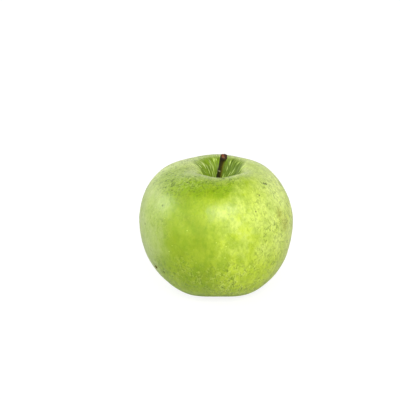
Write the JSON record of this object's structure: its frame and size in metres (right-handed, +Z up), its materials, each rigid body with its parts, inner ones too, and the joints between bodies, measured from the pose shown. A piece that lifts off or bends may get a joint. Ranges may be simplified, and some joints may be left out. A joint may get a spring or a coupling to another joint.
{
  "type": "apple",
  "caption": "Whole green apple standing on the lobes of its base, with a short woody stem in its cavity and a dried calyx in the basin underneath.",
  "frame": {"origin": "middle of the surface that the apple rests on, directly under the middle of the fruit", "axes": "+Z up out of the stem cavity, -Y the front that is seen in the picture, +X to the right seen from the front"},
  "size_m": [0.0754, 0.0754, 0.0679],
  "materials": {
    "skin": "waxy yellow-green apple skin, satin gloss, mottled, with pale dots",
    "bark": "dark brown woody stem, matt, with a paler broken end",
    "dry_leaf": "dried grey-brown calyx leaves, matt and downy",
    "dry_stamen": "withered dark brown stamens, matt"
  },
  "bodies": {
    "root": {"fruit": "skin", "stem": "bark", "sepal_1": "dry_leaf", "sepal_2": "dry_leaf", "sepal_3": "dry_leaf", "sepal_4": "dry_leaf", "sepal_5": "dry_leaf", "stamens": "dry_stamen"}
  },
  "joints": []
}
